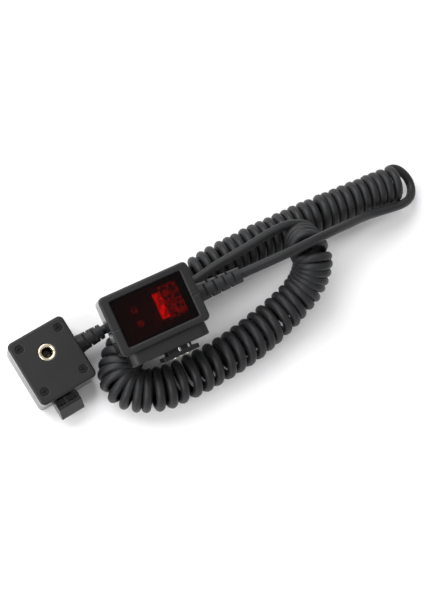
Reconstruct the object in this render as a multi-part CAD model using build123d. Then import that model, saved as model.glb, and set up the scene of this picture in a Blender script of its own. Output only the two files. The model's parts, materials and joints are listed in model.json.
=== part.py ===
"""Off-camera flash cord: a camera module, a flash shoe module and one curly cord.

Units are millimetres and +Z is up.  The cord lies on a table at z = 0.  The shoe
module lies flat on the table with its tripod face up.  The camera module lies on
the curly cord with its red lamp window up.  The origin is on the table, under the
middle of the box round the two modules.

Each module is drawn in a frame of its own and then placed:
  shoe module    x along its short side, y along its long side, z towards the
                 tripod face, zero at the middle of its shoe face;
  camera module  x along the window, y away from the camera foot, z out of the
                 window, zero at the middle of the window face.
"""

import os
from math import cos, pi, radians, sin, sqrt, tan

from build123d import *

# ---------------------------------------------------------------- placing
TABLE_ORIGIN = (41.7, -8.2)        # origin of the part, in the table's own x and y
SHOE_PLACE = (0.0, -0.5, 0.0)      # shoe module's zero on the table
CAMERA_PLACE = (50.5, -7.2, 48.9)  # middle of the window face over the table
CAMERA_YAW = -6.0                  # degrees the camera module is turned about up
CAMERA_LEAN_X = 6.0                # degrees its window leans towards -X
CAMERA_LEAN_Y = 6.0                # degrees its window leans towards -Y

# ---------------------------------------------------------------- clearances
SHELL_GAP = 0.1                    # between a fixed piece and the pocket that holds it
PIN_GAP = 0.05                     # round a shaft that runs in a hole
SCREW_GAP = 0.03                   # round a screw's thread or a pressed insert
SLIDE_GAP = 0.12                   # beside a piece that slides

# ---------------------------------------------------------------- shoe module
SHOE_W = 31.2
SHOE_L = 35.2
SHOE_T = 20.5
SHOE_SEAM = 11.4                   # height of the joint between its two shells
SHOE_CORNER = 2.8
SHELL_WALL = 2.0
COVER_TOP = 2.6                    # thickness of the tripod face
COVER_ROUND = 1.0                  # round of the tripod face's rim
BODY_BEVEL = 0.5
SEAM_BEVEL = 0.3
POCKET_CORNER = 1.2
SCREW_PITCH_X = 21.9
SCREW_PITCH_Y = 24.0
SCREW_Y = 0.5                      # middle of the four screws
SCREW_R = 1.0
SCREW_HEAD_R = 1.95
SCREW_HEAD_T = 1.4
SCREW_SUNK = 0.3                   # heads stand this far under the tripod face
SCREW_CROSS_L = 2.4                # recess of the head: length, width and depth
SCREW_CROSS_W = 0.5
SCREW_CROSS_T = 0.8
BOSS_WALL = 1.7
INSERT_Y = 4.6                     # tripod insert, from the shell's middle
INSERT_R = 4.35
INSERT_LEN = 8.6
THREAD_R = 2.62                    # wall of the 1/4-20 thread's tapping hole
THREAD_LEN = 7.4
THREAD_MOUTH = 0.5                 # chamfer at the thread's mouth
INSERT_BOSS_WALL = 1.6
SHOE_BOARD_W = 16.2
SHOE_BOARD_Z = 14.6
SHOE_BOARD_T = 1.0

# accessory shoe, as the standard flash foot needs it
SHOE_X = -3.0                      # middle of the shoe and of its lock tab
SLOT_W = 18.8
SLOT_H = 2.35
SLOT_LEN = 20.0
LIP_GAP = 12.7
LIP_T = 1.2
RAIL_WEB = 1.05
RAIL_SIDE = 1.1
RAIL_RECESS = 0.35                 # lips stand this far inside the shoe face
RAIL_BACK = 0.3                    # rail's end behind the open wall of the shoe body
FLOOR_Z = 6.4                      # inside floor of the shoe body
PLATE_W = 12.8                     # insulating contact plate
PLATE_L = 11.8
PLATE_Y = 8.2

# lock tab of the shoe
TAB_W = 12.5
TAB_LOW = 5.6                      # underside
TAB_SHELF = 13.4                   # shelf beside the wall
TAB_HIGH = 16.2                    # crest
TAB_REACH = 9.4                    # out from the wall
TAB_SHELF_L = 3.0
TAB_RIB_W = 1.6
TAB_CHEEK_W = 0.8
TAB_GAP = 0.3                      # between the tab and the wall
TAB_TRAVEL = 2.5
TONGUE_W = 8.0
TONGUE_T = 1.4
TONGUE_Z = 6.8
LOCK_PIN_R = 1.1
LOCK_PIN_Y = 0.2
LOCK_PIN_LIFT = 1.25
LOCK_PIN_LOW = 2.4                 # tip, inside the slot of the shoe
LOCK_PIN_HEAD_R = 1.9
LOCK_PIN_HEAD_T = 0.8

# ---------------------------------------------------------------- camera module
CASE_W = 46.6
CASE_H = 30.6
CASE_D = 24.0
CASE_CORNER = 2.6
CASE_SEAM = -1.8
CASE_LIP = 1.4                     # thickness of the window's frame
CASE_BACK = 1.8
CASE_ROUND = 1.1                   # round of the window side's rim
CASE_REAR_ROUND = 0.9
CASE_POCKET_CORNER = 1.0
CASE_POST = 4.2                    # square posts in the corners, which hold the window
SEAM_W = 0.28
SEAM_DEPTH = 0.25
BEZEL_W = 4.7                      # frame beside the window, and over and under it
BEZEL_H = 3.45
WINDOW_W = CASE_W - 2 * BEZEL_W
WINDOW_H = CASE_H - 2 * BEZEL_H
WINDOW_T = 1.6
WINDOW_CORNER = 0.6
WINDOW_BEVEL = 0.5
BOARD_SIDE = 0.7                   # between the board and the corner posts
BOARD_EDGE = 2.3                   # between the board and the long walls
BOARD_W = CASE_W - 2 * SHELL_WALL - 2 * CASE_POST - 2 * BOARD_SIDE
BOARD_H = CASE_H - 2 * SHELL_WALL - 2 * BOARD_EDGE
BOARD_Z = -12.6
BOARD_T = 1.2
LAMP_IN = 8.7                      # lamps, from the board's end
LAMP_X = LAMP_IN - BOARD_W / 2
LAMP_Y = -0.1                      # middle of the two lamps
LAMP_PITCH = 7.0
LAMP_R = 1.5
LAMP_FLANGE_R = 1.9
LAMP_FLANGE_T = 0.8
LAMP_H = 3.4                       # up to where the dome starts
LENS_W = 9.0
LENS_L = 17.0
LENS_H = 5.2
LENS_IN = 0.8                      # lens box, from the board's other end
LENS_X = BOARD_W / 2 - LENS_IN - LENS_W / 2
LENS_Y = 0.5
BAR_W = 3.0
BAR_L = 13.2
BAR_H = 5.8
BAR_GAP = 0.6                      # between the bar and the lens box
BAR_X = LENS_X - LENS_W / 2 - BAR_GAP - BAR_W / 2
BAR_Y = 0.3
LENS_WALL = 0.6
LENS_FLOOR = 1.4

# camera foot, ISO 518 sizes
FOOT_X = 3.7
FOOT_Z = -12.0
FOOT_W = 18.6
FOOT_L = 18.0
FOOT_T = 2.0
NECK_W = 12.4
NECK_L = 15.6
NECK_H = 1.9
BASE_INSET = 2.7                   # base's ends, in from the case's ends
BASE_W = CASE_W - 2 * BASE_INSET
BASE_FRONT = -2.6
BASE_REAR = -21.5
BASE_CORNER = 4.6
FOOT_CORNER = 0.9
CONTACT_PLACES = (                 # across, along and radius of each contact pin
    (0.0, 0.0, 1.2), (-3.3, 3.8, 0.75), (3.3, 3.8, 0.75),
    (-3.3, -3.4, 0.75), (3.3, -3.4, 0.75),
)
PAD_RATIO = 1.35                   # radius of a pad over the radius of its pin
PAD_PROUD = 0.1
PAD_T = 1.3
CONTACT_PROUD = 0.6
FOOT_PIN_Z = 7.0                   # camera lock pin, ahead of the foot's middle
FOOT_PIN_R = 1.0
CONTACT_DEPTH = 2.9                # holes of the pins in the base
FOOT_SCREW_R = 1.0
FOOT_HEAD_R = 1.8
FOOT_HEAD_T = 0.9
FOOT_SCREW_X = 4.5                 # half of the screws' pitch across and along the foot
FOOT_SCREW_Z = 6.4
FOOT_SCREW_IN = 1.2                # depth in the base
FOOT_SUNK = 0.1                    # heads and lock pin stand this far inside the foot
STRIP_X = 4.7                      # bright strip, from the foot's middle
STRIP_W = 1.0
STRIP_T = 0.8
PIVOT_R = 1.2
LEVER_Z = -15.6
LEVER_HUB_R = 3.0
LEVER_T = 2.0
LEVER_REACH = 9.6
LEVER_W = 4.8
LEVER_PAD_W = 7.0
LEVER_PAD_L = 3.4
LEVER_PAD_PROUD = 0.7
LEVER_FLOOR = 0.4                  # base left between the pins' holes and the lever
LEVER_ROOF = 0.25                  # between the lever's pad and the top of the base
BASE_H = CONTACT_DEPTH + LEVER_FLOOR + LEVER_T + LEVER_PAD_PROUD + LEVER_ROOF
LEVER_SWING = 40.0
LEVER_REST = -20.0                 # degrees about y from straight back, so towards +x

# ---------------------------------------------------------------- cord
LEAD_D = 4.8
COIL_D = 20.5
COIL_REST = 0.05                   # the coil stands this far over the table
RELIEF_R = 4.6
RELIEF_END_R = 3.9
RELIEF_NECK_R = 3.3
RELIEF_FLANGE_R = 4.4
RELIEF_FLANGE_T = 1.2
RELIEF_COLLAR = 2.4                # length of the collar
RELIEF_COLLAR_PROUD = 0.2
RELIEF_SLOT = 1.1
RELIEF_PITCH = 2.6
RELIEF_CORE = 5.2                  # across the core between the slots
SHOE_RELIEF_LEN = 14.4
CAMERA_RELIEF_LEN = 24.0
SHOE_RELIEF_Y = 1.0
CAMERA_RELIEF_Z = -12.0

# Routes over the table, chosen by hand, in the table's own x, y and z.
COIL_Z = COIL_D / 2 + COIL_REST
COIL_ROUTE = [
    (207.5, -9.8, COIL_Z), (184.0, -6.9, COIL_Z), (156.0, -3.2, COIL_Z), (127.0, -0.6, COIL_Z),
    (98.0, 1.0, COIL_Z), (72.0, -0.6, COIL_Z), (53.5, -5.2, COIL_Z), (39.5, -11.6, COIL_Z),
    (28.5, -19.2, COIL_Z), (25.9, -29.2, COIL_Z), (33.0, -38.6, COIL_Z), (45.5, -42.6, COIL_Z),
    (65.0, -44.2, COIL_Z), (88.0, -44.4, COIL_Z), (109.0, -41.2, COIL_Z), (126.0, -35.6, 11.4),
    (138.5, -29.6, 15.4), (146.6, -21.0, 22.2), (145.4, -11.6, 29.6), (134.8, -6.2, 32.4),
]
SHOE_END_ROUTE = [
    (121.0, -0.2, 35.4), (108.5, -0.4, 28.4), (95.5, -1.4, 24.4), (80.0, -2.8, 23.5),
    (66.5, -2.6, 23.5), (56.5, -0.6, 23.3), (49.0, 1.9, 21.2), (42.8, 3.1, 17.3), (38.0, 2.0, 13.2),
]
CAMERA_END_ROUTE = [
    (220.2, -6.6, 7.6), (222.4, -13.8, 4.8), (218.8, -20.4, 3.5), (210.4, -23.4, 5.0),
    (197.4, -22.0, 10.8), (181.6, -20.4, 20.0), (163.8, -18.6, 32.4), (145.0, -17.6, 42.2),
    (126.0, -16.6, 44.2),
]
RIM_R = (COIL_D - LEAD_D) / 2      # where the cord leaves the coil's end face
FAR_RIM_TURN = 5.0                 # degrees round the far end, from level towards +Y, upwards
NEAR_RIM_TURN = 58.0               # the same, at the end that lies on the coil
RELIEF_RUN = 4.5                   # straight run out of the shoe module's relief
END_RUN = 6.5                      # first straight run of a lead off the coil's face


# ---------------------------------------------------------------- small helpers
def block(x0, x1, y0, y1, z0, z1):
    """A box between the given faces."""
    return Pos((x0 + x1) / 2, (y0 + y1) / 2, (z0 + z1) / 2) * Box(x1 - x0, y1 - y0, z1 - z0)


def rounded_block(width, length, corner, z0, z1):
    """An upright block with rounded upright corners, centred on the axis."""
    return extrude(Pos(0, 0, z0) * RectangleRounded(width, length, corner), z1 - z0)


def rod_z(radius, x, y, z0, z1):
    """A round rod along z."""
    return Pos(x, y, (z0 + z1) / 2) * Cylinder(radius, z1 - z0)


def rod_y(radius, x, z, y0, y1):
    """A round rod along y."""
    return Pos(x, (y0 + y1) / 2, z) * Rot(90, 0, 0) * Cylinder(radius, y1 - y0)


def rod_x(radius, y, z, x0, x1):
    """A round rod along x."""
    return Pos((x0 + x1) / 2, y, z) * Rot(0, 90, 0) * Cylinder(radius, x1 - x0)


def prism_x(outline, x0, x1):
    """An outline drawn in y and z, carried along x."""
    return Pos(x0, 0, 0) * extrude(Plane.YZ * make_face(outline), x1 - x0)


def prism_y(sketch, y0, y1):
    """A sketch drawn in x and z, carried along y."""
    return Pos(0, y1, 0) * Rot(90, 0, 0) * extrude(sketch, y1 - y0)


def outer_edges(solid, z):
    """Edges of the outermost loop of the flat face at height z."""
    level = [f for f in solid.faces().filter_by(Axis.Z) if abs(f.center().Z - z) < 0.01]
    return max(level, key=lambda f: f.area).outer_wire().edges()


# ---------------------------------------------------------------- strain relief
def strain_relief(length):
    """Moulded relief along +x: flange and neck in the wall, collar, slotted taper."""
    inside = -SHELL_WALL - SHELL_GAP
    flange = rod_x(RELIEF_FLANGE_R, 0, 0, inside - RELIEF_FLANGE_T, inside)
    neck = rod_x(RELIEF_NECK_R, 0, 0, inside, SHELL_GAP)
    collar = rod_x(RELIEF_R + RELIEF_COLLAR_PROUD, 0, 0, SHELL_GAP, RELIEF_COLLAR)
    taper = Cone(RELIEF_R, RELIEF_END_R, length - RELIEF_COLLAR)
    relief = flange + neck + collar + Pos((RELIEF_COLLAR + length) / 2, 0, 0) * Rot(0, 90, 0) * taper
    span = RELIEF_CORE + 1.0
    first = RELIEF_COLLAR + 2.0
    for index in range(int((length - first + 0.4) / RELIEF_PITCH)):
        x = first + index * RELIEF_PITCH
        for side in (-1, 1):
            depth = side * (RELIEF_CORE + RELIEF_R) / 2
            place = Pos(x, depth, 0) if index % 2 else Pos(x, 0, depth)
            size = (RELIEF_SLOT, RELIEF_R, span) if index % 2 else (RELIEF_SLOT, span, RELIEF_R)
            relief -= place * Box(*size)
    return relief


# ---------------------------------------------------------------- shoe module pieces
def screw_places():
    """The four cover screws, in x and y."""
    signs = ((-1, -1), (-1, 1), (1, -1), (1, 1))
    return [(sx * SCREW_PITCH_X / 2, SCREW_Y + sy * SCREW_PITCH_Y / 2) for sx, sy in signs]


def pocket(z0, z1):
    """Inside of the shoe module's shells between two heights."""
    return rounded_block(SHOE_W - 2 * SHELL_WALL, SHOE_L - 2 * SHELL_WALL, POCKET_CORNER, z0, z1)


def plate_pocket(z0, z1):
    """Way through for the contact plate, a gap larger than the plate all round."""
    half_w = PLATE_W / 2 + SHELL_GAP
    half_l = PLATE_L / 2 + SHELL_GAP
    return block(SHOE_X - half_w, SHOE_X + half_w, PLATE_Y - half_l, PLATE_Y + half_l, z0, z1)


def shoe_cover():
    """Tripod-side shell with its screw bosses and the boss of the insert."""
    inner_top = SHOE_T - COVER_TOP
    shell = rounded_block(SHOE_W, SHOE_L, SHOE_CORNER, SHOE_SEAM, SHOE_T)
    shell = fillet(outer_edges(shell, SHOE_T), COVER_ROUND)
    shell = chamfer(outer_edges(shell, SHOE_SEAM), SEAM_BEVEL)
    shell -= pocket(SHOE_SEAM, inner_top)
    shell += rod_z(INSERT_R + INSERT_BOSS_WALL, 0, INSERT_Y, SHOE_T - INSERT_LEN - 0.8, inner_top)
    for x, y in screw_places():
        seat = SHOE_T - SCREW_SUNK - SCREW_HEAD_T - SHELL_GAP
        shell += rod_z(SCREW_R + BOSS_WALL, x, y, SHOE_SEAM, inner_top)
        shell -= rod_z(SCREW_R + 0.15, x, y, SHOE_SEAM, SHOE_T)
        shell -= rod_z(SCREW_HEAD_R + 0.2, x, y, seat, SHOE_T)
    shell -= rod_z(INSERT_R + SCREW_GAP, 0, INSERT_Y, SHOE_T - INSERT_LEN, SHOE_T)
    shell -= rod_x(RELIEF_NECK_R + PIN_GAP, SHOE_RELIEF_Y, SHOE_SEAM, 0, SHOE_W)
    return shell


def rail_width():
    """Outer width of the metal shoe rail."""
    return SLOT_W + 2 * RAIL_SIDE


def rail_top():
    """Upper face of the rail's web."""
    return RAIL_RECESS + LIP_T + SLOT_H + RAIL_WEB


def shoe_body():
    """Shoe-side shell: the floor, the pocket of the rail and the way out of the tab."""
    entry = SHOE_L / 2
    shell = rounded_block(SHOE_W, SHOE_L, SHOE_CORNER, 0, SHOE_SEAM)
    shell = chamfer(outer_edges(shell, 0), BODY_BEVEL)
    shell = chamfer(outer_edges(shell, SHOE_SEAM), SEAM_BEVEL)
    shell -= pocket(FLOOR_Z, SHOE_SEAM)
    half = rail_width() / 2 + SHELL_GAP
    back = entry - SLOT_LEN - RAIL_SIDE - SHELL_GAP
    shell -= block(SHOE_X - half, SHOE_X + half, back, entry, 0, rail_top() + SHELL_GAP)
    shell -= plate_pocket(0, FLOOR_Z)
    for x, y in screw_places():
        shell += rod_z(SCREW_R + BOSS_WALL, x, y, FLOOR_Z, SHOE_SEAM)
        shell -= rod_z(SCREW_R + SCREW_GAP, x, y, FLOOR_Z, SHOE_SEAM)
    shell -= rod_x(RELIEF_NECK_R + PIN_GAP, SHOE_RELIEF_Y, SHOE_SEAM, 0, SHOE_W)
    shell -= block(
        SHOE_X - TONGUE_W / 2 - SLIDE_GAP, SHOE_X + TONGUE_W / 2 + SLIDE_GAP,
        -SHOE_L, -SHOE_L / 2 + 2 * SHELL_WALL, TONGUE_Z - SLIDE_GAP, TONGUE_Z + TONGUE_T + SLIDE_GAP,
    )
    shell -= rod_z(LOCK_PIN_R + PIN_GAP, SHOE_X, LOCK_PIN_Y, 0, FLOOR_Z)
    return shell


def tripod_insert():
    """Threaded metal insert, open at the tripod face."""
    insert = rod_z(INSERT_R, 0, INSERT_Y, SHOE_T - INSERT_LEN, SHOE_T)
    insert -= rod_z(THREAD_R, 0, INSERT_Y, SHOE_T - THREAD_LEN, SHOE_T)
    mouth = Cone(THREAD_R, THREAD_R + THREAD_MOUTH, THREAD_MOUTH)
    return insert - Pos(0, INSERT_Y, SHOE_T - THREAD_MOUTH / 2) * mouth


def cover_screws():
    """Four cross-recess screws that hold the cover."""
    top = SHOE_T - SCREW_SUNK
    seat = top - SCREW_HEAD_T
    long, wide = SCREW_CROSS_L / 2, SCREW_CROSS_W / 2
    screws = []
    for x, y in screw_places():
        screw = rod_z(SCREW_HEAD_R, x, y, seat, top) + rod_z(SCREW_R, x, y, FLOOR_Z + 1.0, seat)
        screw -= block(x - long, x + long, y - wide, y + wide, top - SCREW_CROSS_T, top)
        screw -= block(x - wide, x + wide, y - long, y + long, top - SCREW_CROSS_T, top)
        screws.append(screw)
    return Compound(screws)


def shoe_rail():
    """Folded metal rail with two lips, which takes the flash's foot."""
    entry = SHOE_L / 2 - RAIL_BACK
    back = SHOE_L / 2 - SLOT_LEN
    half = rail_width() / 2
    slot_z = RAIL_RECESS + LIP_T
    rail = block(SHOE_X - half, SHOE_X + half, back - RAIL_SIDE, entry, RAIL_RECESS, rail_top())
    rail -= block(SHOE_X - SLOT_W / 2, SHOE_X + SLOT_W / 2, back, entry, slot_z, slot_z + SLOT_H)
    rail -= block(SHOE_X - LIP_GAP / 2, SHOE_X + LIP_GAP / 2, back, entry, 0, slot_z)
    rail -= plate_pocket(slot_z + SLOT_H, rail_top())
    rail -= rod_z(LOCK_PIN_R + 3 * PIN_GAP, SHOE_X, LOCK_PIN_Y, slot_z + SLOT_H, rail_top())
    return rail


def contact_places():
    """Centre and radius of each contact pad of the shoe, in x and y."""
    return [(SHOE_X + x, PLATE_Y + z, radius * PAD_RATIO) for x, z, radius in CONTACT_PLACES]


def contact_plate():
    """Insulating plate that carries the contact pads."""
    low = RAIL_RECESS + LIP_T + SLOT_H
    plate = block(
        SHOE_X - PLATE_W / 2, SHOE_X + PLATE_W / 2,
        PLATE_Y - PLATE_L / 2, PLATE_Y + PLATE_L / 2, low, FLOOR_Z - SHELL_GAP,
    )
    for x, y, radius in contact_places():
        plate -= rod_z(radius + PIN_GAP, x, y, low, low + PAD_T)
    return plate


def contact_pads():
    """Metal pads, a little proud of the plate."""
    low = RAIL_RECESS + LIP_T + SLOT_H
    high = low - PAD_PROUD + PAD_T
    return Compound([rod_z(radius, x, y, low - PAD_PROUD, high) for x, y, radius in contact_places()])


def shoe_board():
    """Circuit board inside the cover, open round the insert's boss."""
    half_w = SHOE_BOARD_W / 2
    half_l = SHOE_L / 2 - SHELL_WALL - 0.5
    top = SHOE_BOARD_Z + SHOE_BOARD_T
    board = block(-half_w, half_w, -half_l, half_l, SHOE_BOARD_Z, top)
    return board - rod_z(INSERT_R + INSERT_BOSS_WALL + 0.3, 0, INSERT_Y, SHOE_BOARD_Z, top)


def lock_tab():
    """Tab that is pulled outwards, with the tongue that lifts the lock pin."""
    wall = -SHOE_L / 2 - TAB_GAP
    tip = wall - TAB_REACH
    shelf = wall - TAB_SHELF_L
    side = Polyline(
        (wall, TAB_LOW), (wall, TAB_SHELF), (shelf, TAB_SHELF), (shelf - 0.6, TAB_HIGH - 0.2),
        (shelf - 2.2, TAB_HIGH), (tip + 0.3, TAB_LOW + 4.6), (tip, TAB_LOW + 3.6),
        (tip + 0.6, TAB_LOW + 0.6), (tip + 1.4, TAB_LOW), close=True,
    )
    tab = prism_x(side, SHOE_X - TAB_W / 2, SHOE_X + TAB_W / 2)
    low = TAB_SHELF - 0.4
    tab += block(
        SHOE_X - TAB_RIB_W / 2, SHOE_X + TAB_RIB_W / 2, shelf - 0.4, wall, low, TAB_HIGH - 0.6,
    )
    for edge in (-1, 1):
        x = SHOE_X + edge * (TAB_W - TAB_CHEEK_W) / 2
        tab += block(x - TAB_CHEEK_W / 2, x + TAB_CHEEK_W / 2, shelf - 1.0, wall, low, TAB_HIGH - 0.2)
    reach = LOCK_PIN_Y + LOCK_PIN_R + TAB_TRAVEL + 1.6
    tab += block(
        SHOE_X - TONGUE_W / 2, SHOE_X + TONGUE_W / 2, wall - 0.5, reach,
        TONGUE_Z, TONGUE_Z + TONGUE_T,
    )
    slot_r = LOCK_PIN_R + 2 * SLIDE_GAP
    tab -= block(
        SHOE_X - slot_r, SHOE_X + slot_r, LOCK_PIN_Y - slot_r, LOCK_PIN_Y + slot_r + TAB_TRAVEL,
        TONGUE_Z, TONGUE_Z + TONGUE_T,
    )
    return tab


def shoe_lock_pin():
    """Pin that drops into the flash foot; its head rides over the tongue."""
    head = TONGUE_Z + TONGUE_T + 0.3
    pin = rod_z(LOCK_PIN_R, SHOE_X, LOCK_PIN_Y, LOCK_PIN_LOW, head)
    return pin + rod_z(LOCK_PIN_HEAD_R, SHOE_X, LOCK_PIN_Y, head, head + LOCK_PIN_HEAD_T)


# ---------------------------------------------------------------- camera module pieces
def whole_case():
    """Camera case in one piece, before it is parted at its seam."""
    case = rounded_block(CASE_W, CASE_H, CASE_CORNER, -CASE_D, 0)
    case = fillet(outer_edges(case, 0), CASE_ROUND)
    case = fillet(outer_edges(case, -CASE_D), CASE_REAR_ROUND)
    inner_w = CASE_W - 2 * SHELL_WALL
    inner_h = CASE_H - 2 * SHELL_WALL
    case -= rounded_block(inner_w, inner_h, CASE_POCKET_CORNER, -CASE_D + CASE_BACK, -CASE_LIP)
    case -= rounded_block(WINDOW_W, WINDOW_H, WINDOW_CORNER, -CASE_LIP, 0)
    rim = Pos(0, 0, -WINDOW_BEVEL) * RectangleRounded(WINDOW_W, WINDOW_H, WINDOW_CORNER)
    case -= extrude(rim, WINDOW_BEVEL + 0.1, taper=-40)
    post = CASE_POST / 2
    for sx in (-1, 1):
        for sy in (-1, 1):
            x = sx * (inner_w / 2 - post)
            y = sy * (inner_h / 2 - post)
            top = -CASE_LIP - WINDOW_T - 2 * SHELL_GAP
            case += block(x - post, x + post, y - post, y + post, -CASE_D + CASE_BACK, top)
    case -= rod_x(RELIEF_NECK_R + PIN_GAP, CASE_SEAM, CAMERA_RELIEF_Z, 0, CASE_W)
    return cut_seam(case)


def cut_seam(case):
    """A shallow groove round the outside of the case along its seam."""
    half = SEAM_W / 2
    side = CASE_W / 2 - SEAM_DEPTH
    band = block(-CASE_W, CASE_W, CASE_SEAM - half, CASE_SEAM + half, -CASE_D - 1, 1)
    band -= block(
        -side, side, CASE_SEAM - 1, CASE_SEAM + 1, -CASE_D + SEAM_DEPTH, -SEAM_DEPTH,
    )
    return case - band


def camera_case_upper():
    """Half of the case above the seam."""
    return whole_case() & block(-CASE_W, CASE_W, CASE_SEAM, CASE_H, -CASE_D - 1, 1)


def camera_case_lower():
    """Half of the case on the side of the camera foot."""
    return whole_case() & block(-CASE_W, CASE_W, -CASE_H, CASE_SEAM, -CASE_D - 1, 1)


def window():
    """Red lamp window, held behind the case's frame."""
    width = CASE_W - 2 * SHELL_WALL - 2 * SHELL_GAP
    height = CASE_H - 2 * SHELL_WALL - 2 * SHELL_GAP
    top = -CASE_LIP - SHELL_GAP / 2
    return rounded_block(width, height, CASE_POCKET_CORNER, top - WINDOW_T, top)


def lamp_board():
    """Circuit board behind the window."""
    return block(-BOARD_W / 2, BOARD_W / 2, -BOARD_H / 2, BOARD_H / 2, BOARD_Z, BOARD_Z + BOARD_T)


def lamp_pair():
    """Two small focus-assist lamps on the board."""
    foot = BOARD_Z + BOARD_T
    lamps = []
    for side in (1, -1):
        y = LAMP_Y + side * LAMP_PITCH / 2
        lamp = rod_z(LAMP_FLANGE_R, LAMP_X, y, foot, foot + LAMP_FLANGE_T)
        lamp += rod_z(LAMP_R, LAMP_X, y, foot + LAMP_FLANGE_T, foot + LAMP_H)
        lamps.append(lamp + Pos(LAMP_X, y, foot + LAMP_H) * Sphere(LAMP_R))
    return Compound(lamps)


def pattern_bar():
    """Upright bar that throws the focus pattern."""
    foot = BOARD_Z + BOARD_T
    return Pos(BAR_X, BAR_Y, foot + BAR_H / 2) * Box(BAR_W, BAR_L, BAR_H)


def lens_box():
    """Square projector box beside the bar, with four open cells."""
    foot = BOARD_Z + BOARD_T
    box = Pos(LENS_X, LENS_Y, foot + LENS_H / 2) * Box(LENS_W, LENS_L, LENS_H)
    cell_w = (LENS_W - 3 * LENS_WALL) / 2
    cell_l = (LENS_L - 3 * LENS_WALL) / 2
    depth = LENS_H - LENS_FLOOR
    for sx in (-1, 1):
        for sy in (-1, 1):
            x = LENS_X + sx * (cell_w + LENS_WALL) / 2
            y = LENS_Y + sy * (cell_l + LENS_WALL) / 2
            box -= Pos(x, y, foot + LENS_FLOOR + depth / 2) * Box(cell_w, cell_l, depth)
    return box


def base_top():
    """Face of the foot's base that lies against the case."""
    return -CASE_H / 2 - SHELL_GAP / 2


def foot_base():
    """Base between the case and the metal foot, hollow for the lever."""
    high = base_top()
    low = high - BASE_H
    plan = RectangleRounded(BASE_W, BASE_FRONT - BASE_REAR, BASE_CORNER)
    base = prism_y(Pos(0, (BASE_FRONT + BASE_REAR) / 2) * plan, low, high)
    bottom = base.faces().sort_by(Axis.Y)[0]
    base = fillet(bottom.outer_wire().edges(), 0.8)
    half_gap = LEVER_T / 2 + SLIDE_GAP
    level = lever_level()
    throat = LEVER_HUB_R + 0.3
    mouth = throat + (LEVER_Z - BASE_REAR) * tan(radians(LEVER_SWING / 2)) + 0.4
    sweep = Polyline(
        (FOOT_X - throat, LEVER_Z), (FOOT_X + throat, LEVER_Z),
        (FOOT_X + mouth, BASE_REAR - 1), (FOOT_X - mouth, BASE_REAR - 1), close=True,
    )
    base -= prism_y(make_face(sweep), level - half_gap, level + half_gap)
    base -= rod_y(throat, FOOT_X, LEVER_Z, level - half_gap, level + half_gap)
    base -= rod_y(PIVOT_R + SCREW_GAP, FOOT_X, LEVER_Z, low + 0.6, high - 0.6)
    for x, z, radius in contact_axes():
        base -= rod_y(radius + PIN_GAP, x, z, low - 1, low + CONTACT_DEPTH)
    base -= rod_y(FOOT_PIN_R + PIN_GAP, FOOT_X, FOOT_Z + FOOT_PIN_Z, low - 1, low + CONTACT_DEPTH)
    for x, z in foot_screw_places():
        base -= rod_y(FOOT_SCREW_R + SCREW_GAP, x, z, low - 1, low + FOOT_SCREW_IN + SHELL_GAP)
    return base


def base_low():
    """Face of the base that the metal foot is screwed to."""
    return base_top() - BASE_H


def foot_face():
    """Outer face of the metal foot."""
    return base_low() - NECK_H - FOOT_T


def lever_level():
    """Middle of the lever's thickness, above the ends of the pins."""
    return base_low() + CONTACT_DEPTH + LEVER_FLOOR + LEVER_T / 2


def contact_axes():
    """Place and radius of each contact pin of the foot, in x and z."""
    return [(FOOT_X + x, FOOT_Z + z, radius) for x, z, radius in CONTACT_PLACES]


def foot_screw_places():
    """The four screws of the metal foot, in x and z."""
    signs = ((-1, -1), (-1, 1), (1, -1), (1, 1))
    return [(FOOT_X + sx * FOOT_SCREW_X, FOOT_Z + sz * FOOT_SCREW_Z - 0.2) for sx, sz in signs]


def foot_plate():
    """Metal camera foot: neck and sliding plate."""
    low = foot_face()
    outline = RectangleRounded(FOOT_W, FOOT_L, FOOT_CORNER)
    plate = prism_y(Pos(FOOT_X, FOOT_Z) * outline, low, low + FOOT_T)
    plate += prism_y(Pos(FOOT_X, FOOT_Z) * Rectangle(NECK_W, NECK_L), low + FOOT_T, base_low())
    for x, z, radius in contact_axes():
        plate -= rod_y(radius + 3 * PIN_GAP, x, z, low, base_low())
    plate -= rod_y(FOOT_PIN_R + PIN_GAP, FOOT_X, FOOT_Z + FOOT_PIN_Z, low, base_low())
    for x, z in foot_screw_places():
        plate -= rod_y(FOOT_SCREW_R + 0.15, x, z, low, base_low())
        plate -= rod_y(FOOT_HEAD_R + 0.15, x, z, low, low + FOOT_SUNK + FOOT_HEAD_T + SHELL_GAP)
    return plate


def foot_screws():
    """Four small screws that hold the metal foot to its base."""
    low = foot_face() + FOOT_SUNK
    seat = low + FOOT_HEAD_T
    long, wide = SCREW_CROSS_L / 2, SCREW_CROSS_W / 2
    screws = []
    for x, z in foot_screw_places():
        screw = rod_y(FOOT_HEAD_R, x, z, low, seat)
        screw += rod_y(FOOT_SCREW_R, x, z, seat, base_low() + FOOT_SCREW_IN)
        screw -= block(x - long, x + long, low, low + 0.5, z - wide, z + wide)
        screw -= block(x - wide, x + wide, low, low + 0.5, z - long, z + long)
        screws.append(screw)
    return Compound(screws)


def ground_strip():
    """Bright contact strip on the front of the foot's neck."""
    front = FOOT_Z + NECK_L / 2
    x = FOOT_X + STRIP_X
    low = foot_face() + FOOT_T + SHELL_GAP
    return block(x - STRIP_W / 2, x + STRIP_W / 2, low, base_low() - 0.05, front, front + STRIP_T)


def contact_pin(index):
    """One sprung contact pin of the foot."""
    x, z, radius = contact_axes()[index]
    low = foot_face() - CONTACT_PROUD
    top = base_low() + CONTACT_DEPTH - CONTACT_PROUD - 0.1
    pin = rod_y(radius, x, z, low, top)
    return fillet(pin.faces().sort_by(Axis.Y)[0].edges(), radius * 0.45)


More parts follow.
